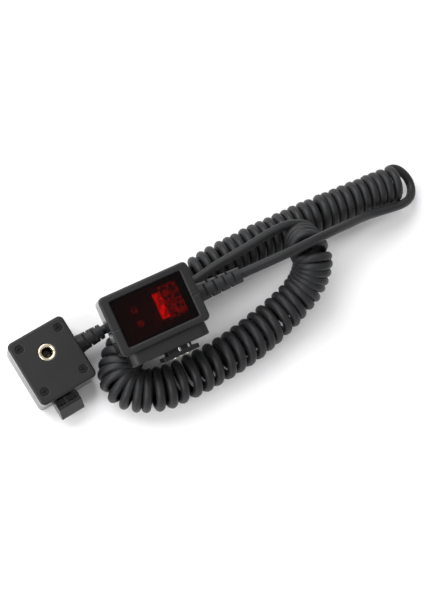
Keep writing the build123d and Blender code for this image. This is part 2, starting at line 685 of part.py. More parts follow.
def foot_lock_pin():
    """Pin that the lever drives into the camera's shoe."""
    z = FOOT_Z + FOOT_PIN_Z
    return rod_y(FOOT_PIN_R, FOOT_X, z, foot_face() + FOOT_SUNK, base_low() + CONTACT_DEPTH - 0.2)


def lever_pivot():
    """Pin that the lever turns on."""
    return rod_y(PIVOT_R, FOOT_X, LEVER_Z, base_low() + 0.6, base_top() - 0.6)


def lock_lever():
    """Lever of the foot's lock, drawn straight back and turned to its rest."""
    level = lever_level()
    half = LEVER_T / 2
    tip = LEVER_Z - LEVER_REACH
    lever = rod_y(LEVER_HUB_R, FOOT_X, LEVER_Z, level - half, level + half)
    lever += block(
        FOOT_X - LEVER_W / 2, FOOT_X + LEVER_W / 2, level - half, level + half, tip, LEVER_Z,
    )
    pad = Pos(FOOT_X, tip) * RectangleRounded(LEVER_PAD_W, LEVER_PAD_L, 1.2)
    lever += prism_y(pad, level - half - LEVER_PAD_PROUD, level + half + LEVER_PAD_PROUD)
    lever -= rod_y(PIVOT_R + PIN_GAP, FOOT_X, LEVER_Z, level - half, level + half)
    return Pos(FOOT_X, 0, LEVER_Z) * Rot(0, LEVER_REST, 0) * Pos(-FOOT_X, 0, -LEVER_Z) * lever


# ---------------------------------------------------------------- cord
def bend_radii(points, ratio=0.45):
    """Radius of each arc: a share of its shorter run, over the tangent of half the turn."""
    radii = []
    for before, here, after in zip(points, points[1:], points[2:]):
        run_in = Vector(*here) - Vector(*before)
        run_out = Vector(*after) - Vector(*here)
        half_turn = radians(run_in.get_angle(run_out)) / 2
        radii.append(ratio * min(run_in.length, run_out.length) / tan(half_turn))
    return radii


def tube(name, points, diameter):
    """Round tube along a route of straight runs and tangent arcs."""
    radii = bend_radii(points)
    path = FilletPolyline(*points, radius=radii)
    start = Plane(origin=path @ 0, z_dir=path % 0)
    solid = sweep(start * Circle(diameter / 2), path=path)
    length = path.length
    share = solid.volume / (pi * diameter ** 2 / 4 * length)
    print(f"{name}: length {length:.1f} mm, volume over section times length {share:.4f}")
    print("  radii", [round(radius, 1) for radius in radii])
    return solid


def coil_ends():
    """Middle and outward direction of the coil's far end and near end."""
    ends = []
    for here, inner in ((COIL_ROUTE[0], COIL_ROUTE[1]), (COIL_ROUTE[-1], COIL_ROUTE[-2])):
        ends.append((Vector(*here), (Vector(*here) - Vector(*inner)).normalized()))
    return ends


def rim_start(end, turn):
    """First two points of a lead that leaves a coil's end face near its rim."""
    middle, out = end
    level = Vector(0, 0, 1).cross(out).normalized()
    if level.Y < 0:
        level = level * -1
    up = level.cross(out)
    if up.Z < 0:
        up = up * -1
    rim = middle + (level * cos(radians(turn)) + up * sin(radians(turn))) * RIM_R
    return [tuple(rim), tuple(rim + out * END_RUN)]


def coil_tube():
    """The curly cord as one fat tube of its outer diameter."""
    return tube("coil_tube", COIL_ROUTE, COIL_D)


def camera_lead():
    """Plain cord from the coil's far end to the camera module's relief."""
    end = camera_frame() * Pos(CASE_W / 2 + CAMERA_RELIEF_LEN, CASE_SEAM, CAMERA_RELIEF_Z)
    goal = tuple(end.position)
    before = tuple((end * Pos(2 * RELIEF_RUN, 0, 0)).position)
    far = rim_start(coil_ends()[0], FAR_RIM_TURN)
    return tube("camera_lead", far + CAMERA_END_ROUTE + [before, goal], LEAD_D)


def shoe_lead():
    """Plain cord from the coil's near end to the shoe module's relief."""
    end = shoe_frame() * Pos(SHOE_W / 2 + SHOE_RELIEF_LEN, SHOE_RELIEF_Y, SHOE_SEAM)
    before = tuple((end * Pos(RELIEF_RUN, 0, 0)).position)
    near = rim_start(coil_ends()[1], NEAR_RIM_TURN)
    return tube("shoe_lead", near + SHOE_END_ROUTE + [before, tuple(end.position)], LEAD_D)


# ---------------------------------------------------------------- placing and writing
def shoe_frame():
    """Where the shoe module stands on the table."""
    return Location(SHOE_PLACE)


def camera_frame():
    """Where the camera module lies over the table."""
    lean_x = sin(radians(CAMERA_LEAN_X))
    lean_y = sin(radians(CAMERA_LEAN_Y))
    normal = (-lean_x, -lean_y, sqrt(1 - lean_x ** 2 - lean_y ** 2))
    along = (cos(radians(CAMERA_YAW)), sin(radians(CAMERA_YAW)), 0)
    return Location(Plane(origin=CAMERA_PLACE, x_dir=along, z_dir=normal))


def shoe_nodes():
    """Pieces of the shoe module, in its own frame."""
    relief = Pos(SHOE_W / 2, SHOE_RELIEF_Y, SHOE_SEAM) * strain_relief(SHOE_RELIEF_LEN)
    return {
        "shoe_cover": shoe_cover(),
        "shoe_body": shoe_body(),
        "tripod_insert": tripod_insert(),
        "cover_screws": cover_screws(),
        "shoe_rail": shoe_rail(),
        "contact_plate": contact_plate(),
        "contact_pads": contact_pads(),
        "shoe_board": shoe_board(),
        "shoe_relief": relief,
        "lock_tab": lock_tab(),
        "shoe_lock_pin": shoe_lock_pin(),
    }


def camera_nodes():
    """Pieces of the camera module, in its own frame."""
    relief = Pos(CASE_W / 2, CASE_SEAM, CAMERA_RELIEF_Z) * strain_relief(CAMERA_RELIEF_LEN)
    nodes = {
        "camera_case_upper": camera_case_upper(),
        "camera_case_lower": camera_case_lower(),
        "window": window(),
        "lamp_board": lamp_board(),
        "lamp_pair": lamp_pair(),
        "pattern_bar": pattern_bar(),
        "lens_box": lens_box(),
        "foot_base": foot_base(),
        "foot_plate": foot_plate(),
        "foot_screws": foot_screws(),
        "ground_strip": ground_strip(),
        "lever_pivot": lever_pivot(),
        "lock_lever": lock_lever(),
        "foot_lock_pin": foot_lock_pin(),
        "camera_relief": relief,
    }
    for index in range(len(CONTACT_PLACES)):
        nodes[f"contact_pin_{index + 1}"] = contact_pin(index)
    return nodes


def main():
    """Place every piece and write one STEP file for each."""
    to_origin = Location((-TABLE_ORIGIN[0], -TABLE_ORIGIN[1], 0))
    parts = {name: to_origin * shoe_frame() * solid for name, solid in shoe_nodes().items()}
    parts.update({name: to_origin * camera_frame() * solid for name, solid in camera_nodes().items()})
    cords = {"coil_tube": coil_tube(), "camera_lead": camera_lead(), "shoe_lead": shoe_lead()}
    boxes = [solid.bounding_box() for solid in parts.values()]
    for axis in "XYZ":
        low = min(getattr(box.min, axis) for box in boxes)
        high = max(getattr(box.max, axis) for box in boxes)
        print(f"modules along {axis}: {low:.2f} to {high:.2f}, middle {(low + high) / 2:.2f}")
    parts.update({name: to_origin * solid for name, solid in cords.items()})
    os.makedirs("parts", exist_ok=True)
    for name, solid in parts.items():
        export_step(solid, f"parts/{name}.step")
        print(f"{name}: volume {solid.volume:.1f}, solids {len(solid.solids())}, valid {solid.is_valid}")


main()
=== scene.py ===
"""Looks of an off-camera flash cord: two modules joined by one long curly cord."""

import json
import math

import bmesh
import bpy
import numpy as np
from mathutils import Matrix, Vector


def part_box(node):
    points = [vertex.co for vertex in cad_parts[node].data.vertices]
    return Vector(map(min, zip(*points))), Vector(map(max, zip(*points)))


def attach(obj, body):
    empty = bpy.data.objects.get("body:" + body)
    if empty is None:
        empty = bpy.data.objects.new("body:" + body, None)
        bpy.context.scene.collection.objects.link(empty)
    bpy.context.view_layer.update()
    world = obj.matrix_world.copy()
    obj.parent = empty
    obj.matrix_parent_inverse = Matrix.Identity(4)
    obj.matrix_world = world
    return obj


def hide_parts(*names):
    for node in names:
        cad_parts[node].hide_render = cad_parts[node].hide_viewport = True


bl_info = {
    "name": "Flash Cord Looks",
    "version": (1, 0, 0),
    "blender": (4, 5, 0),
    "location": "View3D > Sidebar > Flash Cord",
    "description": "Builds the cord, thread, finishes and stage of an off-camera flash cord",
    "category": "Object",
}

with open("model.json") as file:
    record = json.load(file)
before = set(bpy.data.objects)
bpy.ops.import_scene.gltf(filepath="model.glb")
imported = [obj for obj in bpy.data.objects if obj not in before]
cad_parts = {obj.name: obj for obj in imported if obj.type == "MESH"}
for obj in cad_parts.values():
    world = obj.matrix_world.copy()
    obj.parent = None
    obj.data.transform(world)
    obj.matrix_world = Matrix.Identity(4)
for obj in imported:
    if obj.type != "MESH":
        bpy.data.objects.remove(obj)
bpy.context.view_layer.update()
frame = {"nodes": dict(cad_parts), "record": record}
ROOT = "cord_and_modules"

# Route of the cord in metres, from the camera module's relief to the far end of the coil.
CAMERA_LEAD = [
    (0.05665, -0.00495, 0.0412), (0.06555, -0.00598, 0.04203), (0.0843, -0.0084, 0.0442),
    (0.1033, -0.0094, 0.0422), (0.1221, -0.0100, 0.0324), (0.1396, -0.0103, 0.0212),
    (0.1497, -0.0118, 0.0172), (0.1579, -0.0134, 0.0150), (0.1657, -0.0145, 0.0120),
    (0.1733, -0.0138, 0.0088), (0.1782, -0.0098, 0.0068), (0.1799, -0.0043, 0.0066),
    (0.1781, 0.0012, 0.0086), (0.1740, 0.0052, 0.0110),
]
# Middle line of the coil, from its far end to the end that lies on the coil itself.
COIL_LINE = [
    (0.1690, -0.0022, 0.0103), (0.1423, 0.0013, 0.0103), (0.1143, 0.005, 0.0103),
    (0.0853, 0.0076, 0.0103), (0.0563, 0.0092, 0.0103), (0.0303, 0.0076, 0.0103),
    (0.0118, 0.003, 0.0103), (-0.0022, -0.0034, 0.0103), (-0.0142, -0.0112, 0.0103),
    (-0.0172, -0.0212, 0.0103), (-0.0084, -0.0294, 0.0103), (0.0043, -0.0332, 0.0103),
    (0.0233, -0.0348, 0.0103), (0.0460, -0.0350, 0.0106), (0.0630, -0.0326, 0.0118),
    (0.0763, -0.0302, 0.0145), (0.0885, -0.0265, 0.0195), (0.0951, -0.0214, 0.0259),
    (0.0977, -0.0159, 0.0316), (0.0980, -0.0105, 0.0315), (0.1003, -0.0066, 0.0262),
    (0.1016, -0.0034, 0.0215),
]
# From the near end of the coil to the shoe module's relief.
SHOE_LEAD = [
    (0.0975, 0.0062, 0.0272), (0.0880, 0.0071, 0.0268), (0.0745, 0.0066, 0.0262),
    (0.0640, 0.0066, 0.0254), (0.0538, 0.0068, 0.0244), (0.0383, 0.0054, 0.0235),
    (0.0248, 0.0056, 0.0235), (0.0148, 0.0076, 0.0233), (0.0073, 0.0101, 0.0212),
    (0.0011, 0.0113, 0.0173), (-0.0037, 0.0102, 0.0132), (-0.0072, 0.0087, 0.0114),
    (-0.0117, 0.0087, 0.0114),
]
# Share of the coil's length, and the pitch of its turns there on the outside of the bend, in
# millimetres.
TURN_PITCH = [
    (0.0, 4.9), (0.04, 5.0), (0.30, 5.15), (0.36, 6.2), (0.40, 5.7), (0.45, 5.2),
    (0.55, 5.6), (0.60, 6.4), (0.66, 6.6), (0.74, 6.4), (0.82, 6.6), (0.87, 6.3),
    (0.90, 5.2), (0.93, 4.7), (1.0, 4.7),
]
# Share of the coil's length, and the size of its turns there against the turn radius.
TURN_SIZE = [(0.0, 1.0), (0.40, 1.0), (0.47, 1.08), (0.60, 1.13), (0.80, 1.11), (0.90, 1.0),
             (1.0, 1.0)]
# Share of the coil's length, and how far the top of a turn leans along the coil there, as a
# share of its radius.
TURN_LEAN = [(0.0, 0.0), (0.38, 0.0), (0.45, -0.35), (0.56, -0.35), (0.66, 0.0), (0.76, 0.15),
             (0.86, 0.2), (1.0, 0.2)]
LEAST_PITCH = 3.0        # millimetres along the middle line, even inside a tight bend
FIRST_ANGLE = 5.0        # degrees round the coil where the camera lead meets it
LAST_ANGLE = 88.0        # degrees round the coil where the shoe lead leaves it
LINE_STEPS = 24          # steps between control points when the middle line is read
BEND_SPAN = 12           # steps each side over which its curvature is averaged
LOOSENESS = 0.012        # usual share by which turns differ in size
SPACING_SLIP = 0.0004    # metres by which a turn slips along the coil at that looseness
LOOSE_SEED = 11

# Tripod thread, in metres: radii of its crest and root, and its pitch of 20 turns to the inch.
THREAD_CREST = 0.00262
THREAD_ROOT = 0.00308
THREAD_PITCH = 0.00127

OLD_DUST = (0.32, 0.31, 0.30, 1.0)
PATCHINESS = 0.12        # share by which a finish's colour varies from place to place

CAMERA_PLACE = (-0.1170, -0.0533, 0.5803)
CAMERA_LOOK = (0.2747, 0.0792, -0.9582)
CAMERA_UP = (0.4909, 0.8454, 0.2106)
CAMERA_LENS = 69.0       # millimetres, with a sensor 36 millimetres wide
LIGHT_AIM = (0.03, 0.0, 0.0)
# Name, place and diameter in metres, and power as a share of the key light's setting.
LIGHTS = [("key_light", (-0.25, 0.95, 0.95), 1.3, 1.6),
          ("side_light", (-0.70, -0.05, 0.55), 0.5, 0.35)]
FLOOR_HALF = 3.0
FLOOR_DROP = 0.00005     # how far the floor lies under the object, so that they do not meet


# ------------------------------------------------------------------ settings
class FlashCordSizes(bpy.types.PropertyGroup):
    """Sizes of the cord and its coil."""

    cord_diameter: bpy.props.FloatProperty(
        name="Cord Diameter", description="Outside diameter of the cord's jacket",
        default=0.0048, min=0.002, max=0.01, subtype="DISTANCE", unit="LENGTH", precision=4)
    turn_radius: bpy.props.FloatProperty(
        name="Turn Radius", description="Radius of a turn, at the middle of the cord",
        default=0.00783, min=0.004, max=0.02, subtype="DISTANCE", unit="LENGTH", precision=4)
    points_per_turn: bpy.props.IntProperty(
        name="Points per Turn", description="Control points along one turn of the coil",
        default=14, min=12, max=24)
    looseness: bpy.props.FloatProperty(
        name="Looseness", description="How much the turns differ in size and spacing",
        default=LOOSENESS, min=0.0, max=0.1, subtype="FACTOR")


class FlashCordColours(bpy.types.PropertyGroup):
    """Colours of the finishes."""

    case: bpy.props.FloatVectorProperty(
        name="Case", description="Moulded plastic of both modules",
        default=(0.0045, 0.0045, 0.0050), size=3, min=0.0, max=1.0, subtype="COLOR")
    jacket: bpy.props.FloatVectorProperty(
        name="Jacket", description="Rubbery jacket of the cord",
        default=(0.0115, 0.0118, 0.0130), size=3, min=0.0, max=1.0, subtype="COLOR")
    window: bpy.props.FloatVectorProperty(
        name="Window", description="Tinted lamp window",
        default=(0.30, 0.004, 0.006), size=3, min=0.0, max=1.0, subtype="COLOR")
    brass: bpy.props.FloatVectorProperty(
        name="Brass", description="Plated brass of the tripod thread and the contacts",
        default=(0.78, 0.69, 0.52), size=3, min=0.0, max=1.0, subtype="COLOR")


class FlashCordStage(bpy.types.PropertyGroup):
    """Floor and light."""

    floor: bpy.props.FloatVectorProperty(
        name="Floor", description="Plain pale floor",
        default=(0.93, 0.93, 0.94), size=3, min=0.0, max=1.0, subtype="COLOR")
    key_power: bpy.props.FloatProperty(
        name="Key Light", description="Power of the large soft light over the far side",
        default=13.0, min=0.0, max=200.0, subtype="POWER", unit="POWER")
    sky: bpy.props.FloatProperty(
        name="Sky", description="Brightness of the even light all round",
        default=0.62, min=0.0, max=5.0)


# ------------------------------------------------------------------ small helpers
def show(name, data):
    """Puts new data into the scene as an object at the origin."""
    piece = bpy.data.objects.new(name, data)
    bpy.context.scene.collection.objects.link(piece)
    return piece


def grid_mesh(name, points, around=False):
    """Mesh of a grid of points (rows, columns, 3): each cell is one face, and the last
    column joins the first if it goes around."""
    rows, columns = points.shape[:2]
    r = np.arange(rows - 1)
    c = np.arange(columns if around else columns - 1)
    i, j = (a.ravel() for a in np.meshgrid(r, c, indexing="ij"))
    i1, j1 = i + 1, (j + 1) % columns
    faces = np.stack([i * columns + j, i * columns + j1, i1 * columns + j1, i1 * columns + j], 1)
    mesh = bpy.data.meshes.new(name)
    mesh.from_pydata(points.reshape(-1, 3), [], faces.tolist())
    mesh.shade_smooth()
    mesh.update()
    return mesh


def sampled_line(points, steps):
    """Points read from a smooth line with the given control points."""
    curve = bpy.data.curves.new("guide", "CURVE")
    curve.dimensions = "3D"
    curve.resolution_u = steps
    spline = curve.splines.new("NURBS")
    spline.points.add(len(points) - 1)
    spline.points.foreach_set("co", np.c_[np.array(points), np.ones(len(points))].ravel())
    spline.order_u = 3
    spline.use_endpoint_u = True
    guide = show("guide", curve)
    bpy.context.view_layer.update()
    mesh = bpy.data.meshes.new_from_object(guide)
    line = np.empty(len(mesh.vertices) * 3)
    mesh.vertices.foreach_get("co", line)
    bpy.data.objects.remove(guide)
    bpy.data.meshes.remove(mesh)
    bpy.data.curves.remove(curve)
    return line.reshape(-1, 3)


# ------------------------------------------------------------------ cord
def spread(shares, table):
    """Values of a table of (share, value) pairs at the given shares."""
    return np.interp(shares, *np.array(table).T)


def columns_at(at, s, values):
    """The three columns of values, known at lengths s, read at other lengths."""
    return np.stack([np.interp(at, s, values[:, k]) for k in range(3)], 1)


def unit(vectors):
    """The same vectors, each with length one."""
    return vectors / np.linalg.norm(vectors, axis=1)[:, None]


def coil_turns(sizes):
    """Control points of the coil's turns.  With s the length along the coil's middle line and
    k its curvature, the pitch is the table's over (1 + turn radius times k), but not under
    the least pitch.  The turn angle is two pi times the integral of one over the pitch,
    scaled so that both ends meet the leads.  A point stands one turn radius, times the
    table of sizes, from the middle line, at that angle from the level direction on the right
    of travel towards the upward one, and is shifted along the line by the lean times that
    radius times the sine of the angle.  Where turns are larger than the turn radius, the
    middle line is raised by the difference, so that they still stand on the table."""
    line = sampled_line(COIL_LINE, LINE_STEPS)
    step = np.linalg.norm(np.diff(line, axis=0), axis=1)
    s = np.r_[0.0, np.cumsum(step)]
    travel = unit(np.gradient(line, s, axis=0))
    bend = np.linalg.norm(np.gradient(travel, s, axis=0), axis=1)
    span = 2 * BEND_SPAN + 1
    bend = np.convolve(np.pad(bend, BEND_SPAN, "edge"), np.full(span, 1 / span), "valid")
    pitch = spread(s / s[-1], TURN_PITCH) / (1 + sizes.turn_radius * bend)
    density = 1000.0 / np.maximum(pitch, LEAST_PITCH)
    turns = np.r_[0.0, np.cumsum((density[1:] + density[:-1]) / 2 * step)]
    part_turn = (LAST_ANGLE - FIRST_ANGLE) / 360
    whole = round(turns[-1] - part_turn) + part_turn
    turns *= whole / turns[-1]
    n = sizes.points_per_turn
    wanted = np.linspace(0.0, whole, int(round(whole * n)) + 1)
    rng = np.random.default_rng(LOOSE_SEED)
    knots = np.arange(int(whole) + 2)
    slip = SPACING_SLIP * np.interp(wanted, knots, rng.normal(0, 1, len(knots)))
    slip *= (sizes.looseness / LOOSENESS) * np.minimum(1, np.minimum(wanted, whole - wanted))
    at = np.clip(np.interp(wanted, turns, s) + slip, 0, s[-1])
    middle = columns_at(at, s, line)
    travel = unit(columns_at(at, s, travel))
    level = unit(np.stack([travel[:, 1], -travel[:, 0], np.zeros(len(at))], 1))
    up = np.cross(level, travel)
    angle = 2 * np.pi * wanted + math.radians(FIRST_ANGLE)
    loose = 1 + sizes.looseness * np.interp(wanted, knots, rng.normal(0, 1, len(knots)))
    # Control points stand outside the curve they shape, by one over this cosine.
    bulge = math.cos(math.pi / n)
    radius = sizes.turn_radius * spread(at / s[-1], TURN_SIZE) * loose / bulge
    middle[:, 2] += np.maximum(radius - sizes.turn_radius / bulge, 0)
    ring = np.cos(angle)[:, None] * level + np.sin(angle)[:, None] * up
    lean = spread(at / s[-1], TURN_LEAN) * np.sin(angle)
    return middle + radius[:, None] * (ring + lean[:, None] * travel)


class FLASHCORD_OT_cord(bpy.types.Operator):
    """Winds the curly cord between the two modules as one smooth line"""

    bl_idname = "flashcord.cord"
    bl_label = "Curly Cord"

    def execute(self, context):
        sizes = context.scene.flash_cord_sizes
        route = np.vstack([CAMERA_LEAD, coil_turns(sizes), SHOE_LEAD])
        curve = bpy.data.curves.new("curly_cord", "CURVE")
        curve.dimensions = "3D"
        curve.bevel_depth = 1.0
        curve.bevel_resolution = 4
        curve.resolution_u = 3
        curve.use_fill_caps = True
        spline = curve.splines.new("NURBS")
        spline.points.add(len(route) - 1)
        spline.points.foreach_set("co", np.c_[route, np.ones(len(route))].ravel())
        spline.points.foreach_set("radius", np.full(len(route), sizes.cord_diameter / 2))
        spline.order_u = 3
        spline.use_endpoint_u = True
        spline.use_smooth = True
        cord = show("curly_cord", curve)
        line = sampled_line(route.tolist(), 4)
        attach(cord, ROOT)
        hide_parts("coil_tube", "camera_lead", "shoe_lead")
        return {"FINISHED"}


# ------------------------------------------------------------------ tripod thread
def threaded_insert(low, high, centre, outer, crest, root, pitch):
    """Insert as a profile carried round its axis: bottom, outer wall, face, mouth and bore.
    The bore's radius at height z and angle a lies between crest and root, as a rounded
    triangle wave of z over the pitch less a over a full turn, and fades out at its ends."""
    around = 96
    a = np.linspace(0, 2 * np.pi, around, endpoint=False)
    depth = high - low - 0.0012
    bore = np.linspace(high - 0.0006, high - depth, 150)
    outside = [(0.0, low), (outer - 0.0003, low), (outer, low + 0.0003), (outer, high - 0.00035),
               (outer - 0.0001, high - 0.0001), (outer - 0.00035, high),
               (crest + 0.00075, high), (crest + 0.00055, high - 0.00008),
               (crest + 0.00025, high - 0.0004)]
    r0 = np.array([p[0] for p in outside])
    z0 = np.array([p[1] for p in outside])
    wall = r0[:, None] + np.zeros(around)
    phase = bore[:, None] / pitch - a[None, :] / (2 * np.pi)
    wave = 0.5 - 0.5 * np.cos(2 * np.pi * phase)
    wave = np.clip((wave - 0.5) * 1.35 + 0.5, 0, 1)
    fade = np.clip((high - 0.0007 - bore) / 0.0005, 0, 1)
    fade *= np.clip((bore - (high - depth)) / 0.0005, 0, 1)
    inner = crest + (root - crest) * wave * fade[:, None]
    floor = np.array([[crest * 0.6], [crest * 0.2], [0.0]]) + np.zeros(around)
    radius = np.vstack([wall, inner, floor])
    z = np.r_[z0, bore, [high - depth - 0.0003, high - depth - 0.0005, high - depth - 0.0005]]
    points = np.stack([
        centre[0] + radius * np.cos(a), centre[1] + radius * np.sin(a),
        z[:, None] + np.zeros(around)], 2)
    return grid_mesh("tripod_thread", points, around=True)


def merge_and_face_out(piece):
    """Closes poles and seams, and turns every face outwards."""
    mesh = bmesh.new()
    mesh.from_mesh(piece.data)
    bmesh.ops.remove_doubles(mesh, verts=mesh.verts, dist=1e-7)
    bmesh.ops.dissolve_degenerate(mesh, dist=1e-8, edges=mesh.edges)
    bmesh.ops.recalc_face_normals(mesh, faces=mesh.faces)
    mesh.to_mesh(piece.data)
    mesh.free()


class FLASHCORD_OT_thread(bpy.types.Operator):
    """Cuts the tripod thread into the metal insert"""

    bl_idname = "flashcord.thread"
    bl_label = "Tripod Thread"

    def execute(self, context):
        low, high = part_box("tripod_insert")
        centre = (low + high) / 2
        mesh = threaded_insert(
            low.z, high.z, (centre.x, centre.y), (high.x - low.x) / 2,
            THREAD_CREST, THREAD_ROOT, THREAD_PITCH)
        piece = show("tripod_thread", mesh)
        merge_and_face_out(piece)
        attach(piece, ROOT)
        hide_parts("tripod_insert")
        return {"FINISHED"}


# ------------------------------------------------------------------ shader groups
def put(tree, kind, **values):
    """Adds a node.  A value whose key starts with in_ is set on the socket that the rest of
    the key names, and any other on the node."""
    node = tree.nodes.new("ShaderNode" + kind)
    for key, value in values.items():
        if key.startswith("in_"):
            node.inputs[key[3:].replace("_", " ")].default_value = value
        else:
            setattr(node, key, value)
    return node


def join(tree, start, end):
    """Links an output socket to an input socket."""
    tree.links.new(start, end)


def maths(tree, operation, *inputs, clamp=False):
    """A Math node fed with sockets or plain numbers; gives its output."""
    node = put(tree, "Math", operation=operation, use_clamp=clamp)
    for socket, value in zip(node.inputs, inputs):
        if isinstance(value, (int, float)):
            socket.default_value = value
        else:
            join(tree, value, socket)
    return node.outputs[0]


def blended(tree, factor, first, second):
    """A colour that goes from the first to the second with the factor."""
    node = put(tree, "Mix", data_type="RGBA")
    for number, value in ((0, factor), (6, first), (7, second)):
        socket = node.inputs[number]
        if hasattr(value, "is_output"):
            join(tree, value, socket)
        else:
            socket.default_value = value
    return node.outputs[2]


def ranged(tree, value, low, high, out_low, out_high):
    """Maps a value from one range to another, held at both ends."""
    node = put(tree, "MapRange")
    join(tree, value, node.inputs["Value"])
    for name, number in (("From Min", low), ("From Max", high),
                         ("To Min", out_low), ("To Max", out_high)):
        node.inputs[name].default_value = number
    return node.outputs[0]


def object_place(tree):
    """Where a point is on the object, in metres."""
    return put(tree, "TexCoord").outputs["Object"]


def textured(tree, place, kind, **values):
    """Adds a texture node that is read at a place."""
    node = put(tree, "Tex" + kind, **values)
    join(tree, place, node.inputs["Vector"])
    return node


def new_group(name, inputs, outputs):
    """An empty shader node group with number sockets; gives the tree and its two ends."""
    tree = bpy.data.node_groups.new(name, "ShaderNodeTree")
    for label, value in inputs:
        socket = tree.interface.new_socket(
            name=label, in_out="INPUT", socket_type="NodeSocketFloat")
        socket.default_value = value
    for label in outputs:
        tree.interface.new_socket(name=label, in_out="OUTPUT", socket_type="NodeSocketFloat")
    return tree, tree.nodes.new("NodeGroupInput"), tree.nodes.new("NodeGroupOutput")


def grain_group():
    """Fine moulded grain: small noise over cells of about the same size."""
    tree, entry, leave = new_group(
        "moulded_grain", [("Grains per Metre", 2500.0)], ["Height", "Patches"])
    place = object_place(tree)
    noise = textured(tree, place, "Noise", in_Detail=3.0, in_Roughness=0.6)
    join(tree, entry.outputs[0], noise.inputs["Scale"])
    cells = textured(tree, place, "Voronoi", feature="SMOOTH_F1")
    join(tree, entry.outputs[0], cells.inputs["Scale"])
    height = maths(tree, "ADD", maths(tree, "MULTIPLY", noise.outputs[0], 0.6),
                   maths(tree, "MULTIPLY", cells.outputs["Distance"], 0.4))
    join(tree, height, leave.inputs["Height"])
    patches = textured(tree, place, "Noise", in_Scale=90.0, in_Detail=4.0, in_Roughness=0.6)
    join(tree, patches.outputs[0], leave.inputs["Patches"])


def edge_group():
    """Rubbed edges: where the surface softened over a small radius turns from the real one."""
    tree, entry, leave = new_group(
        "rubbed_edges", [("Width", 0.0006), ("Evenness", 0.5)], ["Mask"])
    tree.interface.new_socket(
        name="Soft Normal", in_out="OUTPUT", socket_type="NodeSocketVector")
    soft = put(tree, "Bevel", samples=4)
    join(tree, entry.outputs["Width"], soft.inputs["Radius"])
    join(tree, soft.outputs[0], leave.inputs["Soft Normal"])
    real = put(tree, "NewGeometry")
    dot = put(tree, "VectorMath", operation="DOT_PRODUCT")
    join(tree, soft.outputs[0], dot.inputs[0])
    join(tree, real.outputs["Normal"], dot.inputs[1])
    turned = ranged(
        tree, maths(tree, "SUBTRACT", 1.0, dot.outputs["Value"]), 0.01, 0.25, 0.0, 1.0)
    noise = textured(tree, object_place(tree), "Noise",
                     in_Scale=700.0, in_Detail=5.0, in_Roughness=0.7)
    patchy = ranged(tree, noise.outputs[0], 0.35, 0.65, 0.0, 1.0)
    uneven = maths(tree, "SUBTRACT", 1.0, entry.outputs["Evenness"])
    keep = maths(tree, "ADD", entry.outputs["Evenness"], maths(tree, "MULTIPLY", patchy, uneven))
    join(tree, maths(tree, "MULTIPLY", turned, keep, clamp=True), leave.inputs["Mask"])


def dust_group():
    """Settled dust: pale specks and a faint film on faces that look up."""
    tree, entry, leave = new_group("settled_dust", [("Amount", 0.3)], ["Mask"])
    real = put(tree, "NewGeometry")
    split = put(tree, "SeparateXYZ")
    join(tree, real.outputs["Normal"], split.inputs[0])
    facing = ranged(tree, split.outputs["Z"], 0.2, 0.95, 0.0, 1.0)
    place = object_place(tree)
    specks = textured(tree, place, "Voronoi", in_Scale=420.0)
    dots = ranged(tree, specks.outputs["Distance"], 0.03, 0.09, 1.0, 0.0)
    film = textured(tree, place, "Noise", in_Scale=160.0, in_Detail=5.0, in_Roughness=0.65)
    haze = ranged(tree, film.outputs[0], 0.45, 0.8, 0.0, 0.35)
    both = maths(tree, "ADD", maths(tree, "MULTIPLY", dots, 0.5), haze)
    share = maths(tree, "MULTIPLY", facing, entry.outputs["Amount"])
    join(tree, maths(tree, "MULTIPLY", both, share, clamp=True), leave.inputs["Mask"])


def scratch_group():
    """Hairline scratches: thin creases of stretched noise in two directions."""
    tree, entry, leave = new_group("hairlines", [("Lines per Metre", 900.0)], ["Mask"])
    place = object_place(tree)
    masks = []
    for turn in (0.4, 1.9):
        mapping = put(tree, "Mapping", in_Rotation=(0.3, 0.2, turn), in_Scale=(1.0, 0.06, 0.4))
        join(tree, place, mapping.inputs["Vector"])
        noise = textured(tree, mapping.outputs[0], "Noise", in_Detail=2.0)
        join(tree, entry.outputs[0], noise.inputs["Scale"])
        crease = maths(tree, "ABSOLUTE", maths(tree, "SUBTRACT", noise.outputs[0], 0.5))
        masks.append(ranged(tree, crease, 0.0, 0.012, 1.0, 0.0))
    join(tree, maths(tree, "MAXIMUM", *masks), leave.inputs["Mask"])


def placed(tree, group, **values):
    """A node that uses a shader group, with its inputs set."""
    node = tree.nodes.new("ShaderNodeGroup")
    node.node_tree = bpy.data.node_groups[group]
    for key, value in values.items():
        node.inputs[key.replace("_", " ")].default_value = value
    return node


# ------------------------------------------------------------------ finishes
def new_material(name, **values):
    """A new material with values set on its shader; gives it, its tree and its shader."""
    material = bpy.data.materials.new(name)
    material.use_nodes = True
    shader = material.node_tree.nodes["Principled BSDF"]
    for key, value in values.items():
        shader.inputs[key.replace("_", " ")].default_value = value
    return material, material.node_tree, shader


